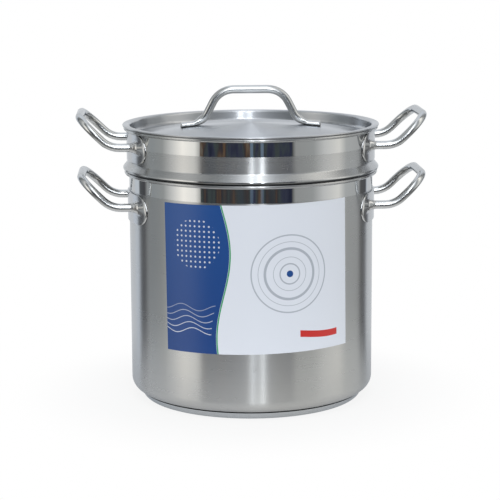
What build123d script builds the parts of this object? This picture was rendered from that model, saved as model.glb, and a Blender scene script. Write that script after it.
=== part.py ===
from build123d import *
import math
import os

# Pasta pot with a lift-out strainer insert and a lid, all of stainless steel sheet and rod.
# Lengths are millimetres. The origin is the middle of the underside of the base, on the table.
# +Z is up, the handles point along X and the paper label faces -Y.

# Sheet, rod and fits
pot_wall = 1.0
insert_wall = 1.0
lid_wall = 1.0
base_cap_wall = 1.0
plate_wall = 2.0
label_thickness = 0.25
handle_rod_diameter = 10.0
lid_rod_diameter = 10.0
weld_clearance = 0.05
brazing_clearance = 0.15
seat_clearance = 0.3
insert_fit_clearance = 0.7
lid_fit_clearance = 0.5
overrun = 5.0

# The pot
pot_outer_diameter = 300.0
pot_rim_height = 283.5
pot_corner_radius = 15.0

# The rolled rims of the pot and the insert
rim_height = 4.5
rim_reach = 5.5

# The induction base under the pot: a magnetic cap round an aluminium core
base_height = 9.5
base_cap_inset = 11.5
base_cap_flare = 4.0
base_cap_corner_radius = 8.0
base_seam = 0.6

# The strainer insert
insert_collar_step = 0.5
insert_collar_height = 53.6
insert_lip_reach = 6.9
insert_lip_radius = 2.3
insert_flare_height = 11.0
insert_flare_radius = 4.0
insert_seat_radius = 2.0
insert_band_height = 21.0
insert_step_height = 5.0
insert_step_radius = 3.0
insert_step_width = 2.8
insert_floor_clearance = 45.5
insert_corner_radius = 20.0

# The strainer's holes
hole_diameter = 5.5
hole_sides = 4
wall_hole_columns = 36
wall_hole_rows = 13
wall_hole_pitch = 14.0
wall_hole_top_depth = 36.0
floor_hole_pitch = 26.0
floor_hole_rings = 4
floor_holes_per_ring_step = 6

# The lid
lid_flange_overhang = 1.3
lid_hem_width = 4.5
lid_hem_height = 1.8
lid_flange_bend = 2.5
lid_trough_depth = 14.0
lid_trough_radius = 5.0
lid_dome_rise = 14.3

# The side handles and their welded plates
handle_leg_spacing = 116.0
handle_leg_length = 14.5
handle_slope_angle = 44.0
handle_slope_length = 7.5
handle_bend_radius = 30.0
handle_bar_radius = 30.0
plate_end_reach = 21.0
plate_height = 36.0
plate_boss_height = 4.5
plate_boss_top_diameter = 11.0
plate_boss_neck_length = 5.8
plate_boss_neck_diameter = 16.0
plate_boss_skirt_length = 8.5
plate_boss_skirt_diameter = 42.0
pot_handle_depth = 38.9
pot_plate_depth = 42.2
insert_handle_depth = 20.3
insert_plate_depth = 23.0

# The lid handle, with its ends pressed flat on the dome
lid_handle_height = 46.0
lid_handle_bar_length = 76.4
lid_handle_knee_spacing = 115.2
lid_handle_shoulder_radius = 28.0
lid_handle_knee_radius = 15.0
lid_foot_length = 28.4
lid_foot_run = 1.0
lid_foot_width = 12.5
lid_foot_height = 5.2
lid_foot_taper_length = 7.0

# The paper label on the front of the pot
label_width = 236.0
label_height = 177.0
label_depth = 23.5

# Places that follow from the sizes above
pot_outer_radius = pot_outer_diameter / 2
pot_inner_radius = pot_outer_radius - pot_wall
base_cap_radius = pot_outer_radius - base_cap_inset
collar_outer_radius = pot_outer_radius + insert_collar_step
collar_inner_radius = collar_outer_radius - insert_wall
band_outer_radius = pot_inner_radius - insert_fit_clearance
basket_outer_radius = band_outer_radius - insert_step_width
basket_underside = base_height + pot_wall + insert_floor_clearance
insert_seat_height = pot_rim_height + seat_clearance
insert_rim_height = insert_seat_height + insert_collar_height
lid_flange_top = insert_rim_height + seat_clearance + lid_hem_height
lid_flange_radius = collar_outer_radius + rim_reach + lid_flange_overhang
lid_skirt_radius = collar_inner_radius - lid_fit_clearance - lid_wall / 2
lid_handle_length = lid_handle_knee_spacing + 2 * lid_foot_length
plate_length = handle_leg_spacing + 2 * plate_end_reach


def turned(profile):
    """A profile of radius and height, turned round the Z axis."""
    return revolve(Plane.XZ * profile, axis=Axis.Z)


def rolled_rim(inner_radius, wall, top):
    """The section of a rim rolled outwards, flush with the inner face of its wall."""
    width = wall + rim_reach
    return Pos(inner_radius + width / 2, top - rim_height / 2) * SlotOverall(width, rim_height)


def pot_shell():
    """The drawn pot: flat floor, rounded lower corner, straight wall and rolled rim."""
    wall_radius = pot_outer_radius - pot_wall / 2
    floor = base_height + pot_wall / 2
    rim_middle = pot_rim_height - rim_height / 2
    sheet = FilletPolyline(
        (0, floor),
        (wall_radius, floor),
        (wall_radius, rim_middle),
        radius=pot_corner_radius - pot_wall / 2,
    )
    return turned(trace(sheet, pot_wall) + rolled_rim(pot_inner_radius, pot_wall, pot_rim_height))


def base_cap():
    """The magnetic steel dish that closes the base from below, with its wall leaning outwards."""
    rim_radius = base_cap_radius - base_cap_wall / 2
    floor = base_cap_wall / 2
    sheet = FilletPolyline(
        (0, floor),
        (rim_radius - base_cap_flare, floor),
        (rim_radius, base_height - base_seam),
        radius=base_cap_corner_radius - base_cap_wall / 2,
    )
    return turned(trace(sheet, base_cap_wall))


def base_core():
    """The aluminium disc that spreads the heat, held between the cap and the pot."""
    radius = base_cap_radius - base_cap_flare - base_cap_wall - brazing_clearance
    height = base_height - base_cap_wall
    disc = Pos(0, 0, base_cap_wall) * Cylinder(radius, height, align=(Align.CENTER, Align.CENTER, Align.MIN))
    return chamfer(disc.edges().sort_by(Axis.Z)[0], base_cap_corner_radius - base_cap_wall)


def label():
    """The paper label, bent round the front of the pot."""
    inner_radius = pot_outer_radius + weld_clearance
    spread = math.degrees(label_width / inner_radius)
    foot = pot_rim_height - label_depth - label_height
    sheet = Pos(inner_radius, foot) * Rectangle(label_thickness, label_height, align=Align.MIN)
    front = Plane.XZ.rotated((0, 0, -90 - spread / 2))
    return revolve(front * sheet, axis=Axis.Z, revolution_arc=spread)


def insert_sheet():
    """The middle line of the insert's sheet, from the floor's centre up to the rim."""
    half = insert_wall / 2
    basket = basket_outer_radius - half
    band = band_outer_radius - half
    collar = collar_outer_radius - half
    floor = basket_underside + half
    step_top = insert_seat_height - insert_band_height
    seat = insert_seat_height + half
    bends = [
        (basket, floor, insert_corner_radius - half),
        (basket, step_top - insert_step_height, insert_step_radius),
        (band, step_top, insert_step_radius),
        (band, seat, insert_seat_radius),
        (collar + insert_lip_reach + insert_lip_radius, seat, insert_lip_radius),
        (collar, seat + insert_flare_height, insert_flare_radius),
    ]
    return FilletPolyline(
        (0, floor),
        *[(radius, height) for radius, height, _ in bends],
        (collar, insert_rim_height - rim_height / 2),
        radius=[bend for _, _, bend in bends],
    )


def hole_cutter():
    """A prism along Z that cuts one hole of the strainer."""
    outline = RegularPolygon(hole_diameter / 2, hole_sides)
    return extrude(outline, (insert_wall + overrun) / 2, both=True)


def wall_holes():
    """Columns of holes all round the basket's wall."""
    cutter = Rot(0, 90, 0) * hole_cutter()
    middle = basket_outer_radius - insert_wall / 2
    top = insert_seat_height - wall_hole_top_depth
    return [
        Rot(0, 0, 360 * column / wall_hole_columns) * Pos(middle, 0, top - row * wall_hole_pitch) * cutter
        for column in range(wall_hole_columns)
        for row in range(wall_hole_rows)
    ]


def floor_holes():
    """Rings of holes round the one in the middle of the basket's floor."""
    cutter = hole_cutter()
    height = basket_underside + insert_wall / 2
    holes = [Pos(0, 0, height) * cutter]
    for ring in range(1, floor_hole_rings + 1):
        count = ring * floor_holes_per_ring_step
        radius = ring * floor_hole_pitch
        holes += [Rot(0, 0, 360 * hole / count) * Pos(radius, 0, height) * cutter for hole in range(count)]
    return holes


def insert_basket():
    """The strainer insert, drawn in one piece: basket, seat on the pot's rim, collar and rolled rim."""
    profile = trace(insert_sheet(), insert_wall) + rolled_rim(collar_inner_radius, insert_wall, insert_rim_height)
    return turned(profile) - wall_holes() - floor_holes()


def lid_dome_radius():
    """The dome's radius that lets it run smoothly into the trough inside the lid's flange."""
    reach = lid_skirt_radius - lid_trough_radius
    drop = lid_dome_rise - lid_trough_radius
    return (reach**2 + drop**2 - lid_trough_radius**2) / (2 * (lid_trough_radius + drop))


def lid_trough_floor():
    """The height of the sheet's middle line at the bottom of the trough."""
    return lid_flange_top - lid_wall / 2 - lid_trough_depth


def lid_cover():
    """The pressed lid: low dome, trough, skirt that centres it in the insert, and hemmed flange."""
    radius = lid_dome_radius()
    floor = lid_trough_floor()
    reach = lid_skirt_radius - lid_trough_radius
    dome_centre = floor + lid_dome_rise - radius
    trough_centre = floor + lid_trough_radius
    swing = math.degrees(math.atan2(reach, trough_centre - dome_centre))
    flange = lid_flange_top - lid_wall / 2
    rise = FilletPolyline(
        (lid_skirt_radius, trough_centre),
        (lid_skirt_radius, flange),
        (lid_flange_radius - lid_hem_height / 2, flange),
        radius=lid_flange_bend,
    )
    dome = CenterArc((0, dome_centre), radius, 90, -swing)
    trough = CenterArc((reach, trough_centre), lid_trough_radius, 270 - swing, 90 + swing)
    hem = Pos(lid_flange_radius - lid_hem_width / 2, lid_flange_top - lid_hem_height / 2)
    profile = trace(dome + trough + rise, lid_wall) + hem * SlotOverall(lid_hem_width, lid_hem_height)
    return turned(profile)


def handle_rod(wall_radius, height):
    """One side handle: a rod bent out from the wall, up and across, on the +X side."""
    half_spacing = handle_leg_spacing / 2
    angle = math.radians(handle_slope_angle)
    bend_run = handle_bend_radius * math.tan(angle / 2)
    slope_run = bend_run + handle_slope_length + handle_bar_radius
    start = boss_face(wall_radius)
    bend = start + handle_leg_length + bend_run
    bar = bend + slope_run * math.cos(angle)
    bar_height = height + slope_run * math.sin(angle)
    route = FilletPolyline(
        (start, -half_spacing, height),
        (bend, -half_spacing, height),
        (bar, -half_spacing, bar_height),
        (bar, half_spacing, bar_height),
        (bend, half_spacing, height),
        (start, half_spacing, height),
        radius=[handle_bend_radius, handle_bar_radius, handle_bar_radius, handle_bend_radius],
    )
    section = Plane(origin=(start, -half_spacing, height), z_dir=(1, 0, 0)) * Circle(handle_rod_diameter / 2)
    return sweep(section, path=route)


def plate_skin(wall_radius):
    """The distance from the pot's axis to the plate's outer face, straight out at a handle's leg."""
    half_spacing = handle_leg_spacing / 2
    return math.sqrt((wall_radius + weld_clearance + plate_wall) ** 2 - half_spacing**2)


def boss_face(wall_radius):
    """The distance from the pot's axis to the flat end of a boss, where the rod is welded on."""
    return plate_skin(wall_radius) + plate_boss_height


def plate_boss():
    """The raised boss for one leg: a steep neck on a wide skirt, with its flat end at the origin."""
    neck = plate_boss_neck_length
    skirt = neck + plate_boss_skirt_length
    side = Polyline(
        (0, 0),
        (plate_boss_top_diameter / 2, 0),
        (plate_boss_neck_diameter / 2, -neck),
        (plate_boss_skirt_diameter / 2, -skirt),
        (0, -skirt),
        close=True,
    )
    return turned(make_face(side))


def handle_plate(wall_radius, height, middle):
    """The welded plate behind a side handle, bent round the wall, with a raised boss for each leg."""
    inner = wall_radius + weld_clearance
    sheet = turned(
        Pos(inner, middle - plate_height / 2) * Rectangle(plate_wall, plate_height, align=Align.MIN)
    )
    legs = (-handle_leg_spacing / 2, handle_leg_spacing / 2)
    bosses = [Pos(boss_face(wall_radius), leg, height) * Rot(0, 90, 0) * plate_boss() for leg in legs]
    outline = Plane.YZ * Pos(0, middle) * SlotOverall(plate_length, plate_height)
    wall = Pos(0, 0, middle) * Cylinder(inner, plate_height + overrun)
    return (sheet + bosses & extrude(outline, wall_radius + plate_wall + overrun)) - wall


def both_sides(solid):
    """A solid on the +X side and its copy turned to the -X side, as right and left."""
    return {"right": solid, "left": Rot(0, 0, 180) * solid}


def lid_handle():
    """The lid's handle: a bowed rod whose ends are pressed flat and welded to the dome."""
    foot = lid_foot_plane()
    knee = knee_corner(foot)
    shoulder = Vector(lid_handle_bar_length / 2, 0, lid_flange_top + lid_handle_height - lid_rod_diameter / 2)
    turn = math.radians((knee - shoulder).get_angle(foot.x_dir))
    foot_start = foot.to_local_coords(knee).X + lid_handle_knee_radius * math.tan(turn / 2) + lid_foot_run
    tail = foot.from_local_coords((foot_start, 0, lid_rod_diameter / 2))
    route = FilletPolyline(
        (-tail.X, 0, tail.Z),
        (-knee.X, 0, knee.Z),
        (-shoulder.X, 0, shoulder.Z),
        (shoulder.X, 0, shoulder.Z),
        (knee.X, 0, knee.Z),
        (tail.X, 0, tail.Z),
        radius=[lid_handle_knee_radius, *[lid_handle_shoulder_radius] * 2, lid_handle_knee_radius],
    )
    along = Plane(origin=route @ 1, x_dir=(0, 1, 0), z_dir=route % 1)
    rod = sweep(along * Circle(lid_rod_diameter / 2), path=route)
    return rod + pressed_foot(foot, foot_start) + Rot(0, 0, 180) * pressed_foot(foot, foot_start)


def lid_foot_plane():
    """The plane that the right-hand foot lies on: it touches the dome under the foot's middle."""
    radius = lid_dome_radius()
    slope = math.asin((lid_handle_length + lid_handle_knee_spacing) / 4 / radius)
    dome_centre = lid_trough_floor() + lid_dome_rise - radius
    surface = radius + lid_wall / 2 + weld_clearance
    return Plane(
        origin=(surface * math.sin(slope), 0, dome_centre + surface * math.cos(slope)),
        x_dir=(math.cos(slope), 0, -math.sin(slope)),
        z_dir=(math.sin(slope), 0, math.cos(slope)),
    )


def knee_corner(foot):
    """The corner of the rod's middle line above the right-hand foot's plane."""
    rise = lid_rod_diameter / 2
    along = (lid_handle_knee_spacing / 2 - foot.origin.X - rise * foot.z_dir.X) / foot.x_dir.X
    return foot.from_local_coords(Vector(along, 0, rise))


def pressed_foot(foot, start):
    """The flat end of the lid's handle: it narrows from the rod's round section to a flat one."""
    reach = (lid_handle_length / 2 - foot.origin.X) / foot.x_dir.X
    flat_start = start + lid_foot_taper_length
    round_end, flat_end = (
        Plane(origin=foot.from_local_coords((along, 0, rise / 2)), x_dir=foot.y_dir, z_dir=foot.x_dir)
        for along, rise in ((start, lid_rod_diameter), (flat_start, lid_foot_height))
    )
    flat_section = flat_end * SlotOverall(lid_foot_width, lid_foot_height)
    taper = loft([round_end * Circle(lid_rod_diameter / 2), flat_section])
    return taper + extrude(flat_section, reach - flat_start)


def parts():
    """Every sub-part by its name."""
    made = {
        "pot_shell": pot_shell(),
        "base_core": base_core(),
        "base_cap": base_cap(),
        "label": label(),
        "insert_basket": insert_basket(),
        "lid_cover": lid_cover(),
        "lid_handle": lid_handle(),
    }
    for owner, radius, rim, handle_depth, plate_depth in (
        ("pot", pot_outer_radius, pot_rim_height, pot_handle_depth, pot_plate_depth),
        ("insert", collar_outer_radius, insert_rim_height, insert_handle_depth, insert_plate_depth),
    ):
        handle_height = rim - handle_depth
        for side, rod in both_sides(handle_rod(radius, handle_height)).items():
            made[f"{owner}_handle_{side}"] = rod
        for side, plate in both_sides(handle_plate(radius, handle_height, rim - plate_depth)).items():
            made[f"{owner}_handle_plate_{side}"] = plate
    return made


os.makedirs("parts", exist_ok=True)
for name, solid in parts().items():
    export_step(solid, f"parts/{name}.step")
    print(name, round(solid.volume), "cubic mm,", len(solid.solids()), "solid")
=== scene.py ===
import math
from math import cos, pi, radians, sin

import bmesh
import bpy
from mathutils import Matrix, Vector
from mathutils.geometry import delaunay_2d_cdt


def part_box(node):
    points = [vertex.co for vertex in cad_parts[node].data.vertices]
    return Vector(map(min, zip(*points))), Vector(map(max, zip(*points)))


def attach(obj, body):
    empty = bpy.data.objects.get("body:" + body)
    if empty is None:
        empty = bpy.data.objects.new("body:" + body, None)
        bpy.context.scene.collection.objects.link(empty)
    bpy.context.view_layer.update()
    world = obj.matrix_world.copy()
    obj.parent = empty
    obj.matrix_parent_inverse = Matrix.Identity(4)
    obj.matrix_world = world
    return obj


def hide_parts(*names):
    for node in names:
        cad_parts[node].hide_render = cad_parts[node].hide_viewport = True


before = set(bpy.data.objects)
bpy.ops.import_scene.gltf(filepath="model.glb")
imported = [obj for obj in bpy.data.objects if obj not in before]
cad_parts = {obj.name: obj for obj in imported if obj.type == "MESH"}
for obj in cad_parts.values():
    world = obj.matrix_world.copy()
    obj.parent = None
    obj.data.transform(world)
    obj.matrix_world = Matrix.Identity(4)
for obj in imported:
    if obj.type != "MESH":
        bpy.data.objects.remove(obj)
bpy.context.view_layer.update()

# Looks of the pasta pot with its strainer insert and lid. Lengths are metres.
# The pot stands on the floor at the origin, its handles along X and its label towards -Y.
MM = 0.001
TINY = 0.001 * MM

# How finely the pieces are divided
ROUND_SEGMENTS = 216
ROD_SIDES = 32
WELD_SIDES = 64
BEND_STEP = radians(9)
SHARP_ANGLE = radians(38)
DOME_STEPS = 40
TROUGH_STEPS = 16
HEM_STEPS = 12
PLATE_RINGS = 26
PLATE_TURN_STEPS = 36
PLATE_RUN_STEPS = 60
LABEL_COLUMNS = 96
LABEL_ROWS = 48


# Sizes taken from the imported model
def size_of(node):
    """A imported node's half width along X, and its lowest and highest places."""
    low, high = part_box(node)
    return high.x, low.z, high.z


pot_rim_radius, pot_underside, pot_rim_height = size_of("pot_shell")
cap_radius, _, _ = size_of("base_cap")
_, basket_underside, insert_rim_height = size_of("insert_basket")
lid_flange_radius, _, lid_dome_top = size_of("lid_cover")
_, pot_plate_low, pot_plate_high = size_of("pot_handle_plate_right")
_, _, lid_handle_top = size_of("lid_handle")
_, label_low, label_high = size_of("label")

# Sheet and rod
wall = 1 * MM
weld_gap = 0.05 * MM
plate_wall = 2 * MM
rod_radius = 5 * MM

# The pot and its base
rim_reach = 5.5 * MM
rim_height = 4.5 * MM
rim_groove = 0.35 * MM
pot_radius = pot_rim_radius - rim_reach
pot_corner = 15 * MM
base_seam = 0.6 * MM
cap_flare = 4 * MM
cap_corner = 8 * MM
pot_mirror_from = 261.7 * MM

# The insert
insert_clearance = 0.7 * MM
collar_step = 0.5 * MM
collar_radius = pot_radius + collar_step
band_radius = pot_radius - wall - insert_clearance
basket_step = 2.8 * MM
basket_radius = band_radius - basket_step
seat_height = pot_rim_height + 0.3 * MM
band_height = 21 * MM
step_height = 5 * MM
step_bend = 3 * MM
seat_bend = 2 * MM
lip_reach = 6.9 * MM
lip_bend = 2.3 * MM
lip_mirror_height = 3.4 * MM
flare_height = 11 * MM
flare_bend = 4 * MM
basket_corner = 20 * MM
collar_mirror_from = 315.8 * MM
hole_radius = 2.75 * MM
hole_columns = 36
hole_rows = 13
hole_pitch = 14 * MM
hole_top_depth = 36 * MM
hole_ring_share = 0.25
floor_hole_rings = 4
floor_hole_pitch = 26 * MM
floor_holes_per_ring_step = 6
floor_hole_sides = 24

# The lid
hem_width = 4.5 * MM
hem_height = 1.8 * MM
hem_bevel = 0.3 * MM
lid_clearance = 0.5 * MM
lid_skirt_radius = collar_radius - wall - lid_clearance - wall / 2
lid_flange_bend = 2.5 * MM
lid_trough_depth = 14 * MM
lid_trough_bend = 5 * MM
lid_dome_rise = 14.3 * MM
lid_top = lid_dome_top - (lid_dome_rise - lid_trough_depth)
knee_spacing = 115.2 * MM
bar_length = 76.4 * MM
shoulder_bend = 28 * MM
knee_bend = 15 * MM
foot_end = 86 * MM
foot_width = 12.5 * MM
foot_height = 5.2 * MM
foot_flat = 15 * MM
foot_taper = 11 * MM
foot_step = 0.8 * MM
foot_squareness = 1.2
tip_length = foot_height * 0.35
tip_thinning = 0.4
tip_narrowing = 0.15

# The side handles
leg_spacing = 116 * MM
leg_length = 14.5 * MM
handle_slope = radians(44)
handle_slope_length = 7.5 * MM
handle_bend = 30 * MM
handle_bar_bend = 30 * MM
pot_leg_height = pot_rim_height - 38.9 * MM
insert_leg_height = insert_rim_height - 20.3 * MM
boss_height = 4.5 * MM
boss_top_radius = 5.5 * MM
boss_neck_length = 5.8 * MM
boss_neck_radius = 8 * MM
boss_skirt_length = 8.5 * MM
boss_skirt_radius = 21 * MM
boss_blend = 1 * MM
plate_height = pot_plate_high - pot_plate_low
plate_length = 158 * MM
plate_edge = 0.7 * MM

# A weld's section, as radius and distance from the boss in mm, and the ripples round it
WELD_PROFILE = [
    (5.9, -0.9), (5.75, -0.1), (5.6, 0.5), (5.4, 1.1), (5.2, 1.7), (5.05, 2.3), (4.9, 2.8),
]
WELD_RIPPLES = 13
WELD_RIPPLE_SHARE = 0.008
WELD_RIPPLE_SHIFT = 300

# The paper label
label_width = 236 * MM
label_height = label_high - label_low
label_middle = (label_low + label_high) / 2
label_tilt = radians(0.8)
label_thickness = 0.25 * MM

# The camera, as the photograph was taken. The picture is 500 by 500 pixels.
PICTURE_SIZE = 500
FOCAL_PIXELS = 1813
AXIS_PIXEL_X = 251.2
SENSOR_WIDTH = 36.0
camera_distance = 2.219
camera_height = 0.5852
camera_azimuth = radians(-3.0)
camera_pitch = radians(10.34)
camera_roll = radians(-0.27)


# Meshes
def rounded_path(points, bends):
    """Lines with rounded corners, as pairs of a point and the direction there."""
    points = [Vector(point) for point in points]
    path = [(points[0], (points[1] - points[0]).normalized())]
    for before, corner, after, bend in zip(points, points[1:], points[2:], bends):
        back = (before - corner).normalized()
        ahead = (after - corner).normalized()
        inside = back.angle(ahead)
        turn = pi - inside
        run = bend / math.tan(inside / 2)
        centre = corner + (back + ahead).normalized() * (bend / sin(inside / 2))
        start = corner + back * run - centre
        end = corner + ahead * run - centre
        steps = max(2, math.ceil(turn / BEND_STEP))
        for step in range(steps + 1):
            first = sin((1 - step / steps) * turn) / sin(turn)
            second = sin(step / steps * turn) / sin(turn)
            path.append((centre + start * first + end * second, -back * first + ahead * second))
    path.append((points[-1], (points[-1] - points[-2]).normalized()))
    return path


def arc(centre, radius, start, end, steps):
    """Points of an arc in a section's plane, between two angles in degrees."""
    middle = Vector(centre)
    angles = [radians(start + (end - start) * step / steps) for step in range(steps + 1)]
    return [middle + Vector((cos(angle), sin(angle))) * radius for angle in angles]


def circle(radius, sides=ROD_SIDES):
    """Points round a circle."""
    turns = [2 * pi * step / sides for step in range(sides)]
    return [(radius * cos(turn), radius * sin(turn)) for turn in turns]


def sheet_section(path):
    """The outline of a sheet whose middle line is a path of radius and height."""
    sides = [Vector((-heading.y, heading.x)) * wall / 2 for _, heading in path]
    left = [point + side for (point, _), side in zip(path, sides)]
    right = [point - side for (point, _), side in zip(path, sides)]
    return left + right[::-1]


def ring_faces(first, second, count):
    """Faces between two closed rows, each given by its first vertex."""
    steps = [(step, (step + 1) % count) for step in range(count)]
    return [(first + at, first + after, second + after, second + at) for at, after in steps]


def row_faces(vertices, count):
    """Faces between each closed row of vertices and the next."""
    faces = []
    for first in range(0, len(vertices) - count, count):
        faces += ring_faces(first, first + count, count)
    return faces


def end_faces(vertices, count):
    """The faces that close the first and the last row."""
    return [tuple(range(count)), tuple(range(len(vertices) - count, len(vertices)))]


def turned(section, skipped=()):
    """Vertices and faces of a closed section turned about Z, without the spans that are named."""
    vertices, faces = [], []
    for first, point in enumerate(section):
        vertices += [(x, y, point.y) for x, y in circle(point.x, ROUND_SEGMENTS)]
        second = (first + 1) % len(section)
        on_axis = point.x < TINY and section[second].x < TINY
        if first not in skipped and not on_axis:
            faces += ring_faces(first * ROUND_SEGMENTS, second * ROUND_SEGMENTS, ROUND_SEGMENTS)
    return vertices, faces


def swept(path, sections):
    """Vertices and faces of a rod with closed ends, with one section for each point of its path."""
    side = Vector((0, 1, 0))
    vertices = []
    for (point, heading), section in zip(path, sections):
        side = (side - heading * side.dot(heading)).normalized()
        up = side.cross(heading)
        vertices += [point + side * across + up * rise for across, rise in section]
    count = len(sections[0])
    return vertices, end_faces(vertices, count) + row_faces(vertices, count)


def joined(*meshes):
    """Several pairs of vertices and faces as one pair."""
    vertices, faces = [], []
    for some_vertices, some_faces in meshes:
        offset = len(vertices)
        vertices += some_vertices
        faces += [tuple(corner + offset for corner in face) for face in some_faces]
    return vertices, faces


def turned_half(vertices, faces):
    """The same mesh turned half a turn about Z, for the handle on the other side."""
    return [(-x, -y, z) for x, y, z in vertices], faces


def new_object(name, data):
    """An object with its data, in the scene."""
    made = bpy.data.objects.new(name, data)
    bpy.context.scene.collection.objects.link(made)
    return made


def new_piece(name, vertices, faces, body, slot, material, node=None):
    """A smooth-shaded piece that rides on a body, with its material and its node. The slot is not
    used.
    """
    mesh = bpy.data.meshes.new(name)
    mesh.from_pydata([tuple(vertex) for vertex in vertices], [], faces)
    mesh.validate()
    piece = new_object(name, mesh)
    weld_and_orient(mesh)
    mesh.materials.append(materials[material])
    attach(piece, body)
    if node:
        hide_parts(node)


def weld_and_orient(mesh):
    """Joins vertices that lie together, turns faces outwards and smooths all but sharp edges."""
    work = bmesh.new()
    work.from_mesh(mesh)
    bmesh.ops.remove_doubles(work, verts=work.verts, dist=TINY)
    bmesh.ops.dissolve_degenerate(work, edges=work.edges, dist=TINY / 2)
    bmesh.ops.recalc_face_normals(work, faces=work.faces)
    work.to_mesh(mesh)
    work.free()
    mesh.shade_smooth()
    mesh.set_sharp_from_angle(angle=SHARP_ANGLE)
    mesh.update()


# Shader trees
def reckoned(operation):
    """A method that gives the result of a new Math node."""
    return lambda first, second: first.graph.math(operation, first, second)


class Value:
    """What a node gives. Reckoning with it adds Math nodes."""

    def __init__(self, graph, socket):
        self.graph = graph
        self.socket = socket

    def __rsub__(self, other):
        return self.graph.math("SUBTRACT", other, self)

    __add__ = __radd__ = reckoned("ADD")
    __sub__ = reckoned("SUBTRACT")
    __mul__ = __rmul__ = reckoned("MULTIPLY")
    __truediv__ = reckoned("DIVIDE")


class Graph:
    """A shader tree that is built with short calls."""

    def __init__(self, tree):
        self.tree = tree
        tree.nodes.clear()

    def node(self, kind, inputs=None, **settings):
        """A new node with its settings. An input is a number, a colour or a Value."""
        made = self.tree.nodes.new("ShaderNode" + kind)
        for name, setting in settings.items():
            setattr(made, name, setting)
        for name, given in (inputs or {}).items():
            if isinstance(given, Value):
                self.tree.links.new(given.socket, made.inputs[name])
            else:
                made.inputs[name].default_value = given
        return made

    def value(self, kind, inputs=None, output=0, **settings):
        return Value(self, self.node(kind, inputs, **settings).outputs[output])

    def math(self, operation, first, second=0.0, clamp=False):
        return self.value("Math", {0: first, 1: second}, operation=operation, use_clamp=clamp)

    def spread(self, value, low, high, to_low=0.0, to_high=1.0):
        """The value's place between low and high, eased at both ends."""
        inputs = {0: value, 1: low, 2: high, 3: to_low, 4: to_high}
        return self.value("MapRange", inputs, interpolation_type="SMOOTHSTEP")

    def between(self, value, low, high, edge):
        """1 from low to high and 0 outside, with soft edges."""
        rising = self.spread(value, low, low + edge)
        return rising * self.spread(value, high, high + edge, 1.0, 0.0)

    def place(self):
        """Where a point is on its piece."""
        return self.value("TexCoord", output="Object")

    def vector(self, x, y, z):
        return self.value("CombineXYZ", {0: x, 1: y, 2: z})

    def split(self, vector):
        made = self.node("SeparateXYZ", {0: vector})
        return [Value(self, socket) for socket in made.outputs]

    def length(self, vector):
        return self.value("VectorMath", {0: vector}, output="Value", operation="LENGTH")

    def noise(self, vector, scale=1.0, detail=2.0, roughness=0.5):
        inputs = {"Vector": vector, "Scale": scale, "Detail": detail, "Roughness": roughness}
        return self.value("TexNoise", inputs)

    def bump(self, height, distance, strength=1.0):
        return self.value("Bump", {"Height": height, "Strength": strength, "Distance": distance})

    def blend(self, share, first, second):
        """A colour between two, by share."""
        return self.value("Mix", {0: share, 6: first, 7: second}, output=2, data_type="RGBA")

    def ramp(self, value, stops):
        """A run of colours along a value from 0 to 1."""
        made = self.node("ValToRGB", {0: value})
        elements = made.color_ramp.elements
        for position, _ in stops[1:-1]:
            elements.new(position)
        for element, (position, colour) in zip(elements, stops):
            element.position = position
            element.color = (*colour, 1)
        return Value(self, made.outputs[0])

    def finish(self, shader, output="OutputMaterial"):
        self.node(output, {0: shader})


def new_material(name):
    material = bpy.data.materials.new(name)
    material.use_nodes = True
    return material, Graph(material.node_tree)


def round_place(graph):
    """Object coordinates as x, y, z and the distance from the axis."""
    x, y, z = graph.split(graph.place())
    return x, y, z, graph.math("SQRT", x * x + y * y)


def turned_grain(graph, along, across):
    """Noise drawn out round the axis, as a turned or brushed finish is."""
    x, y, z, radius = round_place(graph)
    return graph.noise(graph.vector(x * along, y * along, (radius + z) * across))


def cloudy(graph, scale):
    """Soft patches with no direction."""
    return graph.noise(graph.place(), scale=scale, detail=3.0)


def hairlines(graph, tilt, length=6.0, fineness=260.0):
    """Sparse fine scuffs that run one way, from 0 to 1."""
    inputs = {"Vector": graph.place(), "Rotation": tilt}
    x, y, z = graph.split(graph.value("VectorRotate", inputs, rotation_type="EULER_XYZ"))
    drawn = graph.vector(x * length, y * fineness, z * fineness)
    return graph.spread(graph.noise(drawn, detail=1.0), *SCUFF_NOISE)


def finish_metal(graph, colour, tone, rough, bump, more=()):
    """Puts a metal's shader in place, its colour scaled by a tone."""
    inputs = {
        "Base Color": graph.value("VectorMath", {0: colour, "Scale": tone}, operation="SCALE"),
        "Metallic": 1.0,
        "Roughness": rough,
        "Specular Tint": EDGE_TINT,
        "Normal": bump,
    }
    inputs.update(more)
    graph.finish(graph.value("BsdfPrincipled", inputs))


# The metals. Noise has its scale per metre, and for lines the scales along and across them.
FINE_LINES = (3.0, 900.0)
BROAD_LINES = (1.2, 260.0)
FINE_GRAIN = 1.5e-6
PATCH_SCALE = 22.0
WARMTH_SCALE = 5.0
WARMTH_NOISE = (0.40, 0.70, 0.0, 0.6)
WALL_SCUFF_TILTS = ((0.5, 0.3, 0.4), (1.9, 0.8, 1.3))
WALL_SCUFF_ROUGHNESS = 0.08
ROD_PATCH_SCALE = 60.0
ROD_PATCH_HEIGHT = 0.004 * MM
ROD_SCUFFS = ((0.7, 0.2, 0.9), 20.0, 700.0)
ROD_SCUFF_ROUGHNESS = 0.1
ROD_ROUGHNESS_SHARES = (0.8, 0.4)
ROD_DARKEST_TONE = 0.97
SCUFF_NOISE = (0.70, 0.76)
MIRROR_ROUGHNESS = 0.05
DARKEST_TONE = 0.95
PATCH_TONE = 0.06
LINE_TONE = 0.04
WARM_RED = 1.02
WARM_BLUE = 0.94
POLISH_EDGE = 0.25 * MM
POLISH_WAVE = 0.5 * MM
# How strongly painted shade darkens the tone in a narrow gap
PAINTED_SHADE_DEPTH = 0.92
SATIN = {"wear": 0.1, "streak": 0.03}
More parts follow.
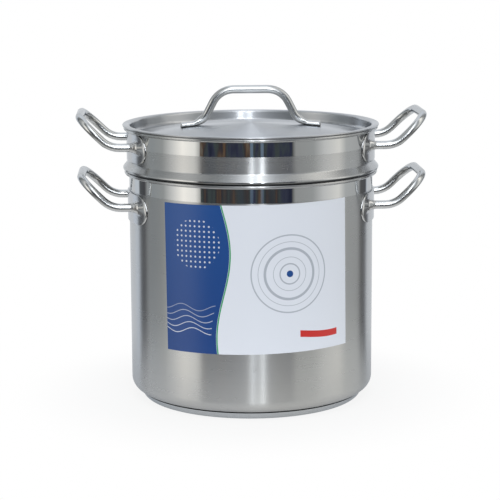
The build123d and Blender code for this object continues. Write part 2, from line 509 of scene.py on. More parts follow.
COARSELY_TURNED = {"streak": 0.08, "grain": 4e-6, "drawn": 0.8}

# Heights between which a wall is polished bright
POT_MIRRORS = [(pot_mirror_from, pot_rim_height - rim_height)]
INSERT_MIRRORS = [
    (seat_height - POLISH_EDGE, seat_height + lip_mirror_height),
    (collar_mirror_from, insert_rim_height - rim_height),
]
# Painted shade in the narrow gaps under the insert's lip and at the base seam, as two heights and
# the radius outside which it begins
LIP_SHADE_HEIGHT = 1.5 * MM
SEAM_SHADE_HEIGHT = 0.4 * MM
SEAM_SHADE_RADIUS = cap_radius - 2 * wall
LIP_PAINTED_SHADE = (seat_height, seat_height + LIP_SHADE_HEIGHT, pot_radius)
POT_SEAM_PAINTED_SHADE = (pot_underside, pot_underside + SEAM_SHADE_HEIGHT, SEAM_SHADE_RADIUS)
CAP_SEAM_PAINTED_SHADE = (pot_underside - base_seam - SEAM_SHADE_HEIGHT, pot_underside, SEAM_SHADE_RADIUS)

SATIN_STEEL = (0.54, 0.545, 0.545)
LIGHT_STEEL = (0.58, 0.59, 0.605)
BASE_STEEL = (0.56, 0.585, 0.615)
ALUMINIUM = (0.40, 0.40, 0.41)
ROD_STEEL = (0.58, 0.585, 0.58)
WELD_STEEL = (0.58, 0.58, 0.57)
PLATE_STEEL = (0.56, 0.56, 0.555)
EDGE_TINT = (0.70, 0.73, 0.77, 1.0)


def steel(
    name, colour, roughness, mirrors=(), painted_shade=None, wear=1.0, streak=0.05,
    grain=FINE_GRAIN, drawn=1.0,
):
    """Metal turned about Z, polished bright at its mirrors and darkened by painted shade in its
    narrow gap.

    wear is how strong the fine scuffs are, streak how much the lines change the sheen, grain the
    height of the lines, and drawn how far they draw out the reflections.
    """
    material, graph = new_material(name)
    _, _, z, radius = round_place(graph)
    lines = turned_grain(graph, *FINE_LINES)
    bands = turned_grain(graph, *BROAD_LINES)
    marks = graph.math("MAXIMUM", *(hairlines(graph, tilt) for tilt in WALL_SCUFF_TILTS))
    patches = cloudy(graph, PATCH_SCALE)
    rough = roughness - streak / 2 + bands * streak
    rough = rough + (patches - 0.5) * streak + marks * (wear * WALL_SCUFF_ROUGHNESS)
    edge_place = z + (patches - 0.5) * POLISH_WAVE
    satin = 1.0
    for low, high in mirrors:
        below = graph.spread(edge_place, low - POLISH_EDGE, low + POLISH_EDGE, 1.0, 0.0)
        above = graph.spread(edge_place, high - POLISH_EDGE, high + POLISH_EDGE)
        satin = satin * (below + above)
    if mirrors:
        rough = MIRROR_ROUGHNESS + (rough - MIRROR_ROUGHNESS) * satin
    tone = DARKEST_TONE + patches * PATCH_TONE + bands * LINE_TONE
    # Painted shade: the tone is darkened where shadow falls in the narrow gap between parts
    if painted_shade:
        low, high, reach = painted_shade
        inside = graph.spread(z, low - POLISH_EDGE, low)
        inside = inside * graph.spread(z, high, high + 2 * POLISH_EDGE, 1.0, 0.0)
        inside = inside * graph.spread(radius, reach, reach + wall)
        tone = tone * (1.0 - inside * PAINTED_SHADE_DEPTH)
    warmth = graph.spread(cloudy(graph, WARMTH_SCALE), *WARMTH_NOISE)
    red, green, blue = colour
    warm = graph.blend(warmth, (*colour, 1), (red * WARM_RED, green, blue * WARM_BLUE, 1))
    more = {
        "Anisotropic": drawn,
        "Anisotropic Rotation": 0.25,
        "Tangent": graph.value("Tangent", direction_type="RADIAL", axis="Z"),
    }
    finish_metal(graph, warm, tone, rough, graph.bump(lines * (grain * satin), 1.0), more)
    return material


def polished_steel(name, colour, roughness, wear):
    """Bright polished steel of the rods and plates, with faint cloudiness and fine scuffs."""
    material, graph = new_material(name)
    patches = cloudy(graph, ROD_PATCH_SCALE)
    marks = hairlines(graph, *ROD_SCUFFS)
    least, swing = (roughness * share for share in ROD_ROUGHNESS_SHARES)
    rough = least + patches * swing + marks * (wear * ROD_SCUFF_ROUGHNESS)
    tone = ROD_DARKEST_TONE + patches * PATCH_TONE
    finish_metal(graph, colour, tone, rough, graph.bump(patches, wear * ROD_PATCH_HEIGHT))
    return material


# The pot, the insert and the base carry painted shade in their narrow gaps
materials = {
    "pot": steel("pot_satin_steel", SATIN_STEEL, 0.28, POT_MIRRORS, POT_SEAM_PAINTED_SHADE, **SATIN),
    "insert": steel("insert_satin_steel", SATIN_STEEL, 0.27, INSERT_MIRRORS, LIP_PAINTED_SHADE, **SATIN),
    "lid": steel("lid_satin_steel", LIGHT_STEEL, 0.29),
    "base": steel("base_turned_steel", BASE_STEEL, 0.30, painted_shade=CAP_SEAM_PAINTED_SHADE, **COARSELY_TURNED),
    "core": steel("core_aluminium", ALUMINIUM, 0.5, wear=0.3, grain=1e-5, drawn=0.5),
    "rod": polished_steel("rod_polished_steel", ROD_STEEL, roughness=0.18, wear=0.5),
    "weld": polished_steel("weld_satin_steel", WELD_STEEL, roughness=0.38, wear=0.5),
    "plate": polished_steel("plate_polished_steel", PLATE_STEEL, roughness=0.16, wear=0.8),
}


# The pot
def rim_curl(inner_radius, top):
    """The middle line of a rim rolled outwards: over the top, down outside, back to the wall."""
    half = wall / 2
    out = inner_radius + wall + rim_reach - half
    high = top - half
    low = top - rim_height + half
    bend = (high - low) / 2 - TINY
    near = inner_radius + wall + rim_groove
    corners = [(inner_radius + half, high), (out, high), (out, low)]
    return corners, [bend, bend, bend], (near, low)


def pot_section():
    """The section of the pot: flat floor, rounded corner, wall and rolled rim."""
    middle = pot_radius - wall / 2
    floor = pot_underside + wall / 2
    corners, bends, end = rim_curl(pot_radius - wall, pot_rim_height)
    points = [(0, floor), (middle, floor), *corners, end]
    return sheet_section(rounded_path(points, [pot_corner - wall / 2, *bends]))


def cap_section():
    """The section of the dish under the base."""
    middle = cap_radius - wall / 2
    points = [(0, wall / 2), (middle - cap_flare, wall / 2), (middle, pot_underside - base_seam)]
    return sheet_section(rounded_path(points, [cap_corner - wall / 2]))


new_piece("pot_wall", *turned(pot_section()), "pot", "satin_steel", "pot", "pot_shell")
new_piece("base_dish", *turned(cap_section()), "pot", "base_steel", "base", "base_cap")


# The insert, with its holes
def insert_points():
    """Corners and bends of the insert's middle line, from the floor's centre up to the rim."""
    half = wall / 2
    step_top = seat_height - band_height
    seat = seat_height + half
    collar = collar_radius - half
    corners, bends, end = rim_curl(collar_radius - wall, insert_rim_height)
    points = [
        (0, basket_underside + half),
        (basket_radius - half, basket_underside + half),
        (basket_radius - half, step_top - step_height),
        (band_radius - half, step_top),
        (band_radius - half, seat),
        (collar + lip_reach + lip_bend, seat),
        (collar, seat + flare_height),
        *corners,
        end,
    ]
    lower_bends = [basket_corner - half, step_bend, step_bend, seat_bend, lip_bend, flare_bend]
    return points, lower_bends + bends


def straight_span(section, axis, place):
    """The number of the section's longest span that lies at a place along an axis."""
    ends = list(zip(section, section[1:] + section[:1]))
    found = [n for n, span in enumerate(ends) if all(abs(p[axis] - place) < TINY for p in span)]
    return max(found, key=lambda n: (ends[n][0] - ends[n][1]).length)


def holed_wall(outer, inner, low, high):
    """The basket's wall between two heights, with its columns and rows of round holes."""
    centres = [seat_height - hole_top_depth - row * hole_pitch for row in range(hole_rows)]
    edges = [high] + [(upper + lower) / 2 for upper, lower in zip(centres, centres[1:])] + [low]
    cell = 2 * pi / hole_columns
    vertices, faces = [], []
    for column in range(hole_columns):
        for centre, top, bottom in zip(centres, edges, edges[1:]):
            rings = cell_rings(cell, centre, top, bottom, outer)
            count = len(rings[0])
            start = len(vertices)
            for radius in (outer, inner):
                for turn, height in (corner for ring in rings for corner in ring):
                    angle = cell * column + turn
                    vertices.append((radius * cos(angle), radius * sin(angle), height))
            for first, second in ((0, 1), (1, 2), (3, 4), (4, 5), (2, 5)):
                faces += ring_faces(start + count * first, start + count * second, count)
    return vertices, faces


def cell_rings(cell, centre, top, bottom, radius):
    """Three rings of angle and height: the cell's border, a ring between, the hole's edge."""
    per_side = ROUND_SEGMENTS // hole_columns
    steps = range(per_side)
    border = [(cell * step / per_side, bottom) for step in steps]
    border += [(cell, bottom + (top - bottom) * step / per_side) for step in steps]
    border += [(cell - cell * step / per_side, top) for step in steps]
    border += [(0.0, top - (top - bottom) * step / per_side) for step in steps]
    hole, between = [], []
    for step, (border_turn, border_height) in enumerate(border):
        around = 2 * pi * (step / len(border)) - radians(135)
        turn = cell / 2 + hole_radius / radius * cos(around)
        height = centre + hole_radius * sin(around)
        hole.append((turn, height))
        between_turn = turn + (border_turn - turn) * hole_ring_share
        between.append((between_turn, height + (border_height - height) * hole_ring_share))
    return border, between, hole


def floor_hole_places():
    """Centres of the holes in the basket's floor: one in the middle and rings round it."""
    places = [Vector((0, 0))]
    for ring in range(1, floor_hole_rings + 1):
        count = ring * floor_holes_per_ring_step
        for number in range(count):
            turn = 2 * pi * number / count
            places.append(Vector((cos(turn), sin(turn))) * (ring * floor_hole_pitch))
    return places


def holed_floor(edge_radius, low, high):
    """The basket's flat floor with its holes, out to a radius, as an underside and a top."""
    places = floor_hole_places()
    hole = [Vector(point) for point in circle(hole_radius, floor_hole_sides)]
    loops = [[Vector(point) for point in circle(edge_radius, ROUND_SEGMENTS)]]
    loops += [[place + point for point in hole] for place in places]
    points, edges = [], []
    for loop in loops:
        start, count = len(points), len(loop)
        edges += [(start + step, start + (step + 1) % count) for step in range(count)]
        points += loop
    flat, _, triangles, _, _, _ = delaunay_2d_cdt(points, edges, [], 1, TINY)

    def in_a_hole(face):
        middle = sum((flat[corner] for corner in face), Vector((0, 0))) / 3
        return any((middle - place).length < hole_radius * 0.98 for place in places)

    kept = [tuple(face) for face in triangles if not in_a_hole(face)]
    count = len(flat)
    vertices = [(point.x, point.y, height) for height in (low, high) for point in flat]
    faces = kept + [tuple(corner + count for corner in face) for face in kept]
    walls = [(a, b, b + count, a + count) for a, b in edges[ROUND_SEGMENTS:]]
    return vertices, faces + walls


def insert_mesh():
    """The whole insert: turned parts, and the holed wall and floor in their straight spans."""
    section = sheet_section(rounded_path(*insert_points()))
    outer, inner = basket_radius, basket_radius - wall
    low, high = basket_underside, basket_underside + wall
    places = ((0, outer), (0, inner), (1, low), (1, high))
    spans = [straight_span(section, axis, place) for axis, place in places]
    bottom, top = sorted(section[spans[0] + step].y for step in (0, 1))
    floor_edge = max(section[(spans[2] + step) % len(section)].x for step in (0, 1))
    return joined(
        turned(section, skipped=spans),
        holed_wall(outer, inner, bottom, top),
        holed_floor(floor_edge, low, high),
    )


new_piece("insert_body", *insert_mesh(), "insert", "insert_steel", "insert", "insert_basket")


# The lid. The dome's radius lets it run smoothly into the trough.
trough_reach = lid_skirt_radius - lid_trough_bend
dome_drop = lid_dome_rise - lid_trough_bend
dome_squares = trough_reach**2 + dome_drop**2 - lid_trough_bend**2
dome_radius = dome_squares / (2 * (lid_trough_bend + dome_drop))
trough_floor = lid_top - wall / 2 - lid_trough_depth
trough_centre = (trough_reach, trough_floor + lid_trough_bend)
dome_centre = trough_floor + lid_dome_rise - dome_radius


def lid_path():
    """The lid's middle line: dome, trough, skirt and flange."""
    swing = math.degrees(math.atan2(trough_reach, trough_centre[1] - dome_centre))
    dome = arc((0, dome_centre), dome_radius, 90, 90 - swing, DOME_STEPS)
    trough = arc(trough_centre, lid_trough_bend, 270 - swing, 360, TROUGH_STEPS)
    path = []
    for points in (dome, trough):
        for before, point, after in zip([points[0], *points], points, [*points[1:], points[-1]]):
            path.append((point, (after - before).normalized()))
    flange = lid_top - wall / 2
    edge = lid_flange_radius - hem_height / 2
    rise = [(lid_skirt_radius, trough_centre[1]), (lid_skirt_radius, flange), (edge, flange)]
    return path + rounded_path(rise, [lid_flange_bend])[1:]


def lid_section():
    """The lid's outline, with the folded hem as part of its edge."""
    path = lid_path()
    sheet = sheet_section(path)
    low = lid_top - hem_height
    near = lid_flange_radius - hem_width
    hem = [(near, lid_top - wall), (near, low + hem_bevel), (near + hem_bevel, low)]
    centre = (lid_flange_radius - hem_height / 2, (low + lid_top) / 2)
    hem = [Vector(point) for point in hem] + arc(centre, hem_height / 2, -90, 90, HEM_STEPS)
    return sheet[: len(path) - 1] + hem[::-1] + sheet[len(path) + 1 :]


new_piece("lid_pan", *turned(lid_section()), "lid", "lid_steel", "lid", "lid_cover")


def lid_handle_mesh():
    """The lid's handle: a bowed rod whose ends are pressed flat on the dome."""
    foot_middle = (foot_end + knee_spacing / 2) / 2
    slope = math.asin(foot_middle / dome_radius)
    surface = dome_radius + wall / 2 + weld_gap
    foot = Vector((surface * sin(slope), 0, dome_centre + surface * cos(slope)))
    along = Vector((cos(slope), 0, -sin(slope)))
    up = Vector((sin(slope), 0, cos(slope)))
    to_knee = (knee_spacing / 2 - foot.x - rod_radius * up.x) / along.x
    knee = foot + up * rod_radius + along * to_knee
    tip = foot + up * rod_radius + along * ((foot_end - foot.x) / along.x)
    bar = lid_handle_top - rod_radius
    mirror = Vector((-1, 1, 1))
    shoulders = [(-bar_length / 2, 0, bar), (bar_length / 2, 0, bar)]
    points = [tip * mirror, knee * mirror, *shoulders, knee, tip]
    path = rounded_path(points, [knee_bend, shoulder_bend, shoulder_bend, knee_bend])
    return pressed_ends(finer(path, foot_step))


def finer(path, spacing):
    """The same path with more points along its straight runs."""
    rows = [path[0]]
    for (start, heading), (end, end_heading) in zip(path, path[1:]):
        straight = heading.angle(end_heading) < TINY
        count = max(1, math.ceil((end - start).length / spacing)) if straight else 1
        rows += [(start.lerp(end, step / count), end_heading) for step in range(1, count + 1)]
    return rows


def pressed_ends(path):
    """A rod along a path in the XZ plane, its section going from round to flat at both ends."""
    travelled = [0.0]
    for (before, _), (after, _) in zip(path, path[1:]):
        travelled.append(travelled[-1] + (after - before).length)
    rows, sections = [], []
    for (point, heading), distance in zip(path, travelled):
        from_tip = min(distance, travelled[-1] - distance)
        pressed = min(max((foot_flat + foot_taper - from_tip) / foot_taper, 0.0), 1.0)
        pressed = pressed * pressed * (3 - 2 * pressed)
        tip = max(0.0, 1 - from_tip / tip_length)
        height = 2 * rod_radius + (foot_height - 2 * rod_radius) * pressed
        height *= 1 - tip_thinning * tip * tip
        width = 2 * rod_radius + (foot_width - 2 * rod_radius) * pressed
        width *= 1 - tip_narrowing * tip * tip
        outwards = Vector((heading.z, 0, -heading.x))
        rows.append((point + outwards * (rod_radius - height / 2), heading))
        sections.append(flattened_circle(width, height, 2 + foot_squareness * pressed))
    return swept(rows, sections)


def flattened_circle(width, height, power):
    """A section between a circle and a rounded box, as a superellipse."""

    def swollen(share, size):
        return math.copysign(abs(share) ** (2 / power), share) * size / 2

    return [(swollen(across, width), swollen(rise, height)) for across, rise in circle(1.0)]


new_piece("lid_grip", *lid_handle_mesh(), "lid", "polished_rod", "rod", "lid_handle")


# The side handles and their plates
def plate_skin(radius, across):
    """The distance along X to a plate's outer face at a distance across."""
    return math.sqrt((radius + weld_gap + plate_wall) ** 2 - across**2)


def boss_face(radius):
    """The distance along X to the flat top of a plate's bosses."""
    return plate_skin(radius, leg_spacing / 2) + boss_height


def handle_mesh(radius, height):
    """A side handle on the +X side: a rod bent out from the wall, up and across."""
    bend_run = handle_bend * math.tan(handle_slope / 2)
    slope_run = bend_run + handle_slope_length + handle_bar_bend
    start = boss_face(radius)
    bend = start + leg_length + bend_run
    bar = bend + slope_run * cos(handle_slope)
    bar_height = height + slope_run * sin(handle_slope)
    half = leg_spacing / 2
    near = [(start, -half, height), (bend, -half, height), (bar, -half, bar_height)]
    points = near + [(x, half, z) for x, _, z in near[::-1]]
    path = rounded_path(points, [handle_bend, handle_bar_bend, handle_bar_bend, handle_bend])
    return swept(path, [circle(rod_radius)] * len(path))


def smooth_larger(first, second, reach):
    """The larger of two values, with a rounded change from one to the other."""
    closeness = max(reach - abs(first - second), 0.0) / reach
    return max(first, second) + closeness * closeness * reach / 4


def plate_mesh(radius, height, middle):
    """A handle's plate on the +X side: bent round the wall, rounded at its edge, two bosses."""
    half_height = plate_height / 2
    half_run = plate_length / 2 - half_height
    top = boss_face(radius)
    neck_fall = boss_neck_length / (boss_neck_radius - boss_top_radius)
    skirt_fall = boss_skirt_length / (boss_skirt_radius - boss_neck_radius)

    def outer_face(y, z):
        away = min(math.hypot(y - leg, z - height) for leg in (-leg_spacing / 2, leg_spacing / 2))
        neck = top - max(0.0, away - boss_top_radius) * neck_fall
        skirt = top - boss_neck_length - max(0.0, away - boss_neck_radius) * skirt_fall
        face = smooth_larger(plate_skin(radius, y), skirt, boss_blend)
        return smooth_larger(face, neck, boss_blend)

    line = stadium(half_run, 0.0, middle)
    edge = stadium(half_run, half_height, middle)
    rows = [(line, plate_wall), (edge, plate_wall), (edge, plate_edge)]
    for turn in (30, 60, 90):
        lift = plate_edge * (1 - sin(radians(turn)))
        inset = plate_edge * (1 - cos(radians(turn)))
        rows.append((stadium(half_run, half_height - inset, middle), lift))
    vertices = [(plate_skin(radius, y) - depth, y, z) for row, depth in rows for y, z in row]
    for ring in range(2, PLATE_RINGS):
        row = stadium(half_run, half_height * (1 - ring / PLATE_RINGS), middle)
        vertices += [(outer_face(y, z), y, z) for y, z in row]
    vertices += [(outer_face(y, z), y, z) for y, z in line]
    return vertices, row_faces(vertices, len(line))


def stadium(half_run, ring_radius, middle):
    """Points round a slot's outline in Y and Z: two half circles and two straight runs."""
    points = []
    for side in (1, -1):
        for step in range(PLATE_TURN_STEPS):
            turn = radians(-90 * side + 180 * step / PLATE_TURN_STEPS)
            across = side * half_run + ring_radius * cos(turn)
            points.append((across, middle + ring_radius * sin(turn)))
        for step in range(PLATE_RUN_STEPS):
            share = step / PLATE_RUN_STEPS
            points.append((side * half_run * (1 - 2 * share), middle + side * ring_radius))
    return points


def weld_mesh(radius, height):
    """The small rounded weld where each leg of a side handle meets its boss."""
    face = boss_face(radius)
    rippled = range(1, len(WELD_PROFILE) - 2)
    meshes = []
    for leg in (-leg_spacing / 2, leg_spacing / 2):
        vertices = []
        for number, (reach, out) in enumerate(WELD_PROFILE):
            ripple = WELD_RIPPLE_SHARE if number in rippled else 0.0
            for step in range(WELD_SIDES):
                turn = 2 * pi * step / WELD_SIDES
                wave = sin(WELD_RIPPLES * turn + leg * WELD_RIPPLE_SHIFT)
                size = reach * MM * (1 + ripple * wave)
                across, rise = size * cos(turn), size * sin(turn)
                vertices.append((face + out * MM, leg + across, height + rise))
        meshes.append((vertices, row_faces(vertices, WELD_SIDES) + end_faces(vertices, WELD_SIDES)))
    return joined(*meshes)


def side_handles(owner, radius, height):
    """The two handles of the pot or of the insert, with their plates and welds."""
    _, plate_low, plate_high = size_of(f"{owner}_handle_plate_right")
    plate = plate_mesh(radius, height, (plate_low + plate_high) / 2)
    meshes = {
        "handle": (handle_mesh(radius, height), "polished_rod", "rod", "{}_handle_{}"),
        "plate": (plate, "polished_plate", "plate", "{}_handle_plate_{}"),
        "welds": (weld_mesh(radius, height), "polished_rod", "weld", None),
    }
    for kind, (mesh, slot, material, node) in meshes.items():
        for side in ("right", "left"):
            shape = mesh if side == "right" else turned_half(*mesh)
            stands_for = node.format(owner, side) if node else None
            name = f"{owner}_{kind}_{side}_made"
            new_piece(name, *shape, owner, slot, material, stands_for)


side_handles("pot", pot_radius, pot_leg_height)
side_handles("insert", collar_radius, insert_leg_height)


# The label. Its design is in mm from its middle, and PRINT_EDGE is half an edge's width.
PRINT_EDGE = 0.12
LABEL_PAPER = (0.70, 0.73, 0.79, 1)
LABEL_BLUE = (0.012, 0.065, 0.24, 1)
LABEL_DEEP_BLUE = (0.010, 0.050, 0.20, 1)
LABEL_GREEN = (0.03, 0.30, 0.12, 1)
LABEL_GREY = (0.30, 0.33, 0.38, 1)
LABEL_RED = (0.55, 0.025, 0.02, 1)
FIELD_EDGE = -42
FIELD_LINE = (1.1, 1.6)
FIELD_SHADE = (-90, 90)
WAVES = [(-62 + 7 * number, number * 0.5, 0.85 - 0.12 * number) for number in range(5)]
WAVE_WIDTH = 0.9
WAVE_MARGIN = 6
FAINT_INK = 0.75
DOT_PITCH = 6
DOT_RADIUS = 1.2
DOT_PATCH = (-74, 42, 30)
RINGS_CENTRE = (38, 6)
RINGS = ((46, 1.6), (38, 0.7), (30, 3), (20, 0.7), (12, 1.6))
RINGS_DOT = 4
RIBBON_PLACE = (76, -68)
RIBBON_SIZE = (52, 8)
SPECKLE_SCALE = 900


def label_mesh():
    """The paper label: a sheet bent round the wall and turned a little."""
    vertices, faces = [], []
    for radius in (pot_radius + weld_gap + label_thickness, pot_radius + weld_gap):
        for row in range(LABEL_ROWS + 1):
            for column in range(LABEL_COLUMNS + 1):
                u = (column / LABEL_COLUMNS - 0.5) * label_width
                v = (row / LABEL_ROWS - 0.5) * label_height
                turn = (u * cos(label_tilt) - v * sin(label_tilt)) / pot_radius
                rise = u * sin(label_tilt) + v * cos(label_tilt)
                x, y = radius * sin(turn), -radius * cos(turn)
                vertices.append((x, y, label_middle + rise))
    width = LABEL_COLUMNS + 1
    back = width * (LABEL_ROWS + 1)
    for row in range(LABEL_ROWS):
        for first in range(row * width, row * width + LABEL_COLUMNS):
            face = (first, first + 1, first + 1 + width, first + width)
            faces += [face, tuple(corner + back for corner in face)]
    edge = [*range(width)]
    edge += [row * width + LABEL_COLUMNS for row in range(1, LABEL_ROWS + 1)]
    edge += [LABEL_ROWS * width + column for column in range(LABEL_COLUMNS - 1, -1, -1)]
    edge += [row * width for row in range(LABEL_ROWS - 1, 0, -1)]
    for first, second in zip(edge, edge[1:] + edge[:1]):
        faces.append((first, second, second + back, first + back))
    return vertices, faces


def label_material():
    """Printed paper: a blue field with a wavy edge, waves, dots, rings and a red ribbon."""
    material, graph = new_material("label_printed_paper")
    x, y, z = graph.split(graph.place())
    across = graph.math("ARCTAN2", x, y * -1) * (pot_radius / MM)
    rise = (z - label_middle) * (1 / MM)
    cosine, sine = cos(label_tilt), sin(label_tilt)
    u = across * cosine + rise * sine
    v = rise * cosine - across * sine

    def wave(along, length, height, start=0):
        return graph.math("SINE", along * (2 * pi / length) + start) * height

    def printed(base, shape, ink, strength=1):
        """Ink where the shape's distance is below zero."""
        return graph.blend(graph.spread(shape, -PRINT_EDGE, PRINT_EDGE, strength, 0), base, ink)

    def line(distance, width):
        return graph.math("ABSOLUTE", distance) - width / 2

    def both(first, second):
        return graph.math("MAXIMUM", first, second)

    def from_place(place_u, place_v):
        return graph.length(graph.vector(u - place_u, v - place_v, 0))

    def cell(along):
        return graph.math("FRACT", along / DOT_PITCH) - 0.5

    field = graph.blend(graph.spread(v, *FIELD_SHADE), LABEL_DEEP_BLUE, LABEL_BLUE)
    edge = u - (wave(v, length=210, height=9, start=0.6) + FIELD_EDGE)
    colour = printed(LABEL_PAPER, edge, field)
    colour = printed(colour, line(edge - FIELD_LINE[0], FIELD_LINE[1]), LABEL_GREEN)
    for place, start, strength in WAVES:
        swell = line(v - (wave(u, 46, 3.5, start) + place), WAVE_WIDTH)
        colour = printed(colour, both(swell, edge + WAVE_MARGIN), LABEL_PAPER, strength)
    dots = graph.length(graph.vector(cell(u), cell(v), 0)) * DOT_PITCH - DOT_RADIUS
    patch = from_place(*DOT_PATCH[:2]) - DOT_PATCH[2]
    colour = printed(colour, both(dots, patch), LABEL_PAPER, FAINT_INK)
    middle = from_place(*RINGS_CENTRE)
    for radius, width in RINGS:
        colour = printed(colour, line(middle - radius, width), LABEL_GREY, FAINT_INK)
    colour = printed(colour, middle - RINGS_DOT, LABEL_BLUE)
    ribbon = line(v - (wave(u, 120, 2.5) + RIBBON_PLACE[1]), RIBBON_SIZE[1])
    colour = printed(colour, both(ribbon, line(u - RIBBON_PLACE[0], RIBBON_SIZE[0])), LABEL_RED)
    speckle = cloudy(graph, SPECKLE_SCALE)
    bump = graph.bump(speckle, 0.2 * MM, 0.05)
    inputs = {"Base Color": colour, "Roughness": 0.30 + speckle * 0.1, "Normal": bump}
    graph.finish(graph.value("BsdfPrincipled", inputs))
    return material


materials["label"] = label_material()
new_piece("paper_label", *label_mesh(), "pot", "label_paper", "label", "label")


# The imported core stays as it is, with a better material
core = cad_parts["base_core"]
core.data.materials.clear()
core.data.materials.append(materials["core"])


# The floor, the light and the camera
WHITE = (1, 1, 1, 1)
FLOOR_RADIUS = 0.34
FLOOR_SEGMENTS = 96
FLOOR_COLOUR = (0.62, 0.62, 0.62, 1)
FLOOR_FADE = (0.15, 0.32, 0.86, 1)
FLOOR_GLOSSY_SHARE = 0.45

# The room round the object. Places are degrees from the camera's side towards the right, or
# degrees above the horizon, and a third number is the width of the soft edge.
WORLD_STRENGTH = 1.1
ROOM_SPAN = (-48.5, 38, 1.5)
ROOM_TOP_RISE = (12, 20)
UPPER_RISE = (16, 30)
GLOW_SPAN = (-4, 12, 3)
GLOW_RISE = (1, 50, 5)
STRIP_FOOT_SPAN = (-1.9, 0.9)
STRIP_FOOT_RISE = (-15, 1, 3)
STRIP_FOOT_SHARE = 0.6
WHITE_BEHIND = (138, 146)
WHITE_RISE = (25, 40, 1, 0)
GLOW_COLOUR = (1.25, 1.33, 1.42, 1)
STRIP_FOOT_COLOUR = (0.25, 0.36, 0.50, 1)
ROOM_TOP_COLOUR = (0.24, 0.26, 0.28, 1)
# The ceiling, the low part and the ground: how each blends in with the rise, and its colour
OUTER_LAYERS = [
    ((72, 84, 0, 1), (0.90, 0.94, 1.00, 1)),
    ((-23, -14, 1, 0), (0.20, 0.20, 0.20, 1)),
    ((-48, -38, 1, 0), (0.62, 0.63, 0.62, 1)),
]
WALL_COLOURS = [
    (-180, (0.90, 0.95, 1.00)), (-132, (0.84, 0.90, 0.98)), (-129, (0.12, 0.13, 0.14)),
    (-119, (0.09, 0.09, 0.10)), (-114, (0.42, 0.44, 0.45)), (-105, (0.38, 0.41, 0.43)),
    (-90, (0.44, 0.46, 0.46)), (-78, (0.90, 0.90, 0.88)), (-66, (1.42, 1.37, 1.28)),
    (-53, (1.20, 1.18, 1.12)), (-48, (0.60, 0.60, 0.58)), (38, (0.05, 0.05, 0.05)),
    (42, (0.42, 0.43, 0.43)), (60, (0.46, 0.48, 0.48)), (72, (0.78, 0.79, 0.79)),
    (90, (1.02, 1.01, 0.97)), (100, (0.60, 0.62, 0.62)), (121, (0.56, 0.57, 0.57)),
    (126, (0.14, 0.14, 0.14)), (138, (0.13, 0.13, 0.14)), (142, (0.80, 0.85, 0.93)),
    (180, (0.90, 0.95, 1.00)),
]
UPPER_COLOURS = [
    (-180, (0.85, 0.90, 0.97)), (-140, (0.85, 0.89, 0.95)), (-127, (0.45, 0.47, 0.48)),
    (-114, (0.12, 0.13, 0.13)), (-102, (0.36, 0.38, 0.39)), (-88, (0.56, 0.57, 0.57)),
    (-75, (0.90, 0.91, 0.90)), (-62, (0.34, 0.35, 0.36)), (-46, (0.20, 0.22, 0.23)),
    (-20, (0.80, 0.84, 0.88)), (-4, (1.55, 1.60, 1.66)), (14, (1.60, 1.66, 1.72)),
    (28, (0.85, 0.89, 0.94)), (46, (0.40, 0.42, 0.45)), (60, (0.42, 0.44, 0.45)),
    (76, (1.30, 1.28, 1.22)), (88, (1.50, 1.47, 1.40)), (100, (0.70, 0.69, 0.67)),
    (112, (0.20, 0.21, 0.21)), (124, (0.40, 0.41, 0.42)), (150, (0.80, 0.84, 0.90)),
    (180, (0.85, 0.90, 0.97)),
]
# The dark room in front of the object, as colours along a noise
ROOM_COLOURS = [
    (0.30, (0.02, 0.025, 0.05)), (0.42, (0.045, 0.05, 0.09)), (0.50, (0.07, 0.09, 0.085)),
    (0.58, (0.035, 0.035, 0.05)), (0.66, (0.15, 0.09, 0.05)), (0.75, (0.22, 0.21, 0.19)),
]

# The two narrow lights in front, as degrees towards the right and brightness. Each has a lower
# and an upper part, as two heights in degrees and the share of the brightness.
STRIPS = [(0.8, 4.6), (10.4, 6.6)]
STRIP_PARTS = {"strip_light": (2, 36, 1.1), "strip_light_high": (36, 62, 0.6)}
STRIP_DISTANCE = 6
STRIP_WIDTH = radians(2.8)
STRIP_TINT = (0.97, 1, 1.03)
SUN_STRENGTH = 1.35
SUN_WIDTH = radians(70)
SUN_TURN = (radians(48), 0, radians(-14))


def white_share(graph, in_reflections):
    """How white a thing is seen: fully by the camera, and by the given share in reflections."""
    rays = graph.node("LightPath").outputs
    kinds = ("Camera", "Transmission", "Glossy")
    camera, through, glossy = (Value(graph, rays[f"Is {kind} Ray"]) for kind in kinds)
    return graph.math("ADD", camera + through, glossy * in_reflections, clamp=True)


def studio_floor():
    """A round pale floor that looks white to the camera and keeps the object's shadow."""
    mesh = bpy.data.meshes.new("studio_floor")
    ring = circle(FLOOR_RADIUS, FLOOR_SEGMENTS)
    mesh.from_pydata([(x, y, 0.0) for x, y in ring], [], [tuple(range(FLOOR_SEGMENTS))])
    floor = new_object("studio_floor", mesh)
    material, graph = new_material("floor_white")
    share = white_share(graph, FLOOR_GLOSSY_SHARE)
    fade = graph.spread(graph.length(graph.place()), *FLOOR_FADE)
    matt = graph.value("BsdfDiffuse", {"Color": FLOOR_COLOUR})
    glow = graph.value("Emission", {"Color": WHITE, "Strength": 1.0})
    graph.finish(graph.value("MixShader", {0: share * fade, 1: matt, 2: glow}))
    mesh.materials.append(material)


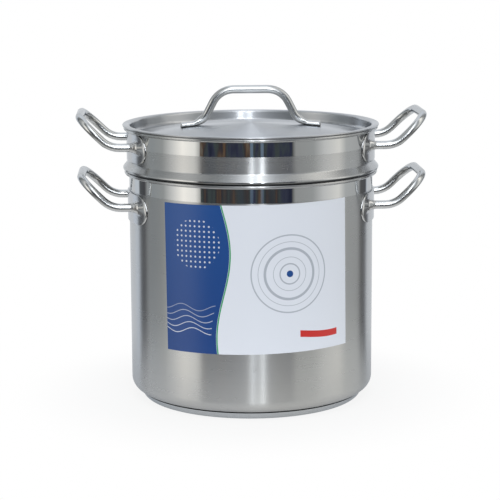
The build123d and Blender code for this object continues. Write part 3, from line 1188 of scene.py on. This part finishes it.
def studio_world():
    """A studio: white behind the object, pale screens beside it, a dark room in front of it."""
    world = bpy.data.worlds.new("studio_tent")
    world.use_nodes = True
    graph = Graph(world.node_tree)
    place = graph.value("TexCoord", output="Generated")
    x, y, z = graph.split(place)
    turn = graph.math("ARCTAN2", x, y * -1.0) - camera_azimuth
    turn = graph.math("FRACT", turn / (2 * pi) + 1.5)
    degrees = (turn - 0.5) * 360.0
    rise = graph.math("ARCSINE", z) * (180 / pi)

    def around(colours):
        return graph.ramp(turn, [(at / 360 + 0.5, colour) for at, colour in colours])

    room = graph.ramp(graph.noise(place, scale=7.0, roughness=0.6), ROOM_COLOURS)
    room = graph.blend(graph.spread(rise, *ROOM_TOP_RISE), room, ROOM_TOP_COLOUR)
    colour = graph.blend(graph.between(degrees, *ROOM_SPAN), around(WALL_COLOURS), room)
    colour = graph.blend(graph.spread(rise, *UPPER_RISE), colour, around(UPPER_COLOURS))
    glow = graph.between(degrees, *GLOW_SPAN) * graph.between(rise, *GLOW_RISE)
    colour = graph.blend(glow, colour, GLOW_COLOUR)
    for middle, _ in STRIPS:
        left, right = (middle + offset for offset in STRIP_FOOT_SPAN)
        foot = graph.between(degrees, left, right, 1.0) * graph.between(rise, *STRIP_FOOT_RISE)
        colour = graph.blend(foot * STRIP_FOOT_SHARE, colour, STRIP_FOOT_COLOUR)
    for span, layer in OUTER_LAYERS:
        colour = graph.blend(graph.spread(rise, *span), colour, layer)
    behind = graph.spread(graph.math("ABSOLUTE", degrees), *WHITE_BEHIND)
    share = white_share(graph, behind * graph.spread(rise, *WHITE_RISE))
    room_light = graph.value("Background", {"Color": colour, "Strength": WORLD_STRENGTH})
    white = graph.value("Background", {"Color": WHITE, "Strength": 1.0})
    shader = graph.value("MixShader", {0: share, 1: room_light, 2: white})
    graph.finish(shader, "OutputWorld")
    bpy.context.scene.world = world


def strip_light(name, degrees, low, high, brightness):
    """A tall narrow soft light far in front, between two heights in degrees."""
    turn = radians(degrees) + camera_azimuth
    rise = radians((low + high) / 2)
    level = cos(rise)
    outwards = Vector((sin(turn) * level, -cos(turn) * level, sin(rise)))
    data = bpy.data.lights.new(name, "AREA")
    data.shape = "RECTANGLE"
    data.size = STRIP_DISTANCE * STRIP_WIDTH * level
    data.size_y = 2 * STRIP_DISTANCE * math.tan(radians(high - low) / 2)
    data.energy = brightness * pi * data.size * data.size_y
    data.color = STRIP_TINT
    light = new_object(name, data)
    light.location = outwards * STRIP_DISTANCE + Vector((0, 0, pot_rim_height / 2))
    light.rotation_euler = outwards.to_track_quat("Z", "Y").to_euler()
    light.visible_camera = False


def matt_light():
    """A broad soft light that reaches matt surfaces only: the paper and the floor."""
    data = bpy.data.lights.new("soft_light", "SUN")
    data.energy = SUN_STRENGTH
    data.angle = SUN_WIDTH
    light = new_object("soft_light", data)
    light.rotation_euler = SUN_TURN
    light.visible_glossy = False


def photo_camera():
    """The camera, placed and aimed as the photograph was taken."""
    data = bpy.data.cameras.new("photo_camera")
    data.sensor_width = SENSOR_WIDTH
    data.lens = FOCAL_PIXELS / PICTURE_SIZE * SENSOR_WIDTH
    data.clip_end = 20.0
    camera = new_object("photo_camera", data)
    aim = math.atan((AXIS_PIXEL_X - PICTURE_SIZE / 2) / FOCAL_PIXELS)
    heading = Matrix.Rotation(camera_azimuth + aim, 4, "Z")
    tilt = Matrix.Rotation(radians(90) - camera_pitch, 4, "X")
    roll = Matrix.Rotation(camera_roll, 4, "Z")
    place = Vector((sin(camera_azimuth), -cos(camera_azimuth), 0)) * camera_distance
    place.z = camera_height
    camera.matrix_world = Matrix.Translation(place) @ heading @ tilt @ roll
    bpy.context.scene.camera = camera


studio_floor()
studio_world()
for number, (degrees, brightness) in enumerate(STRIPS):
    for name, (low, high, share) in STRIP_PARTS.items():
        strip_light(f"{name}_{number}", degrees, low, high, brightness * share)
matt_light()
photo_camera()
bpy.context.scene.view_settings.view_transform = "Standard"
